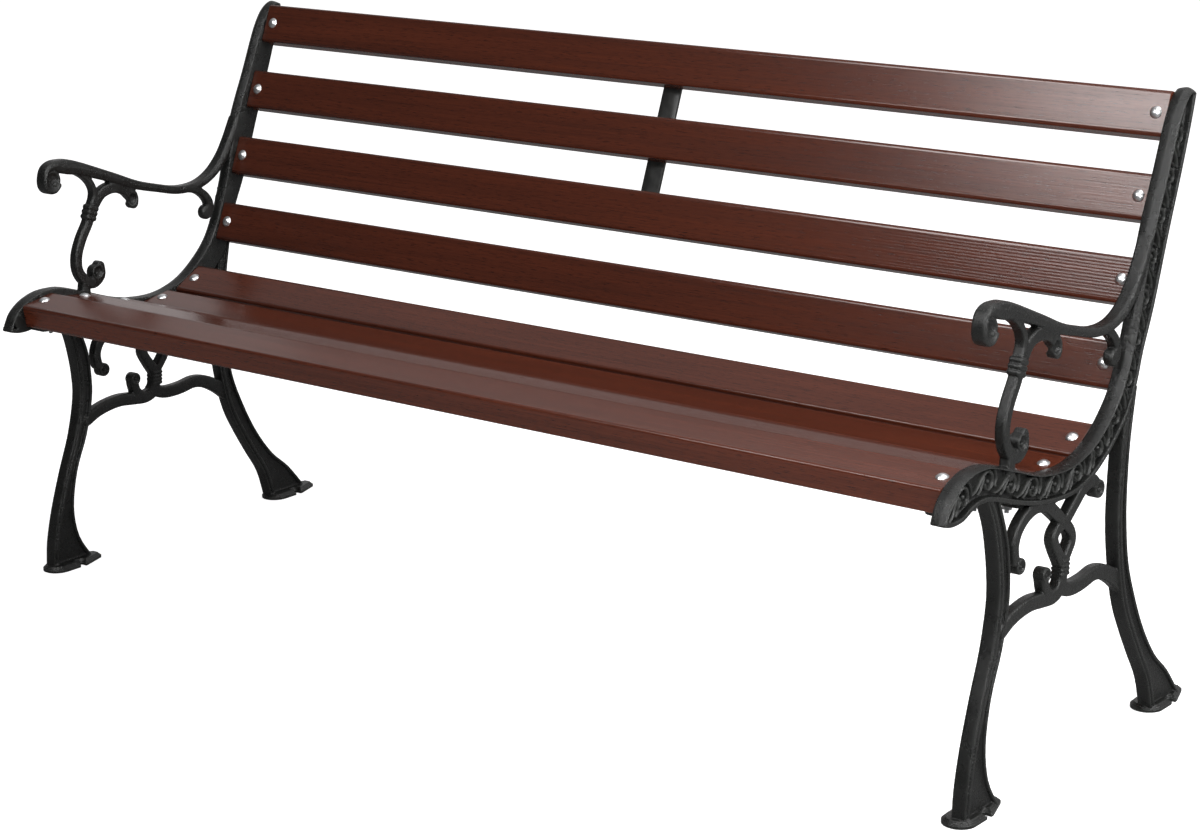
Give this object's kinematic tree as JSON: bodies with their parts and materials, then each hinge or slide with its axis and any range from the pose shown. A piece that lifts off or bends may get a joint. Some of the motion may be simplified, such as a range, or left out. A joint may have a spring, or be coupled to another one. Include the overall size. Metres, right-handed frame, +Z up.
{
  "type": "garden bench",
  "caption": "Slatted garden bench: dark wooden seat and back slats bolted to ornate cast-iron end frames with scrolled arms and curved legs.",
  "frame": {"origin": "bottom centre of the bounding box, on the ground", "axes": "+X along the bench, to the right of someone looking at it from in front; -Y the way the sitter faces; +Z up"},
  "size_m": [1.534, 0.575, 0.7604],
  "materials": {
    "iron": "satin black paint over fine-grained casting",
    "slat_wood": "red-brown varnish with fine lengthwise grain",
    "strap_steel": "satin black paint",
    "zinc": "bright zinc plate"
  },
  "bodies": {
    "root": {"left_end_frame": "iron", "right_end_frame": "iron", "back_slat_1": "slat_wood", "back_slat_2": "slat_wood", "back_slat_3": "slat_wood", "back_slat_4": "slat_wood", "seat_slat_1": "slat_wood", "seat_slat_2": "slat_wood", "seat_slat_3": "slat_wood", "seat_slat_4": "slat_wood", "seat_slat_5": "slat_wood", "back_brace": "strap_steel", "back_brace_screws": "zinc", "left_back_bolts": "zinc", "left_back_washers": "zinc", "left_back_nuts": "zinc", "left_seat_bolts": "zinc", "left_seat_washers": "zinc", "left_seat_nuts": "zinc", "right_back_bolts": "zinc", "right_back_washers": "zinc", "right_back_nuts": "zinc", "right_seat_bolts": "zinc", "right_seat_washers": "zinc", "right_seat_nuts": "zinc"}
  },
  "joints": []
}
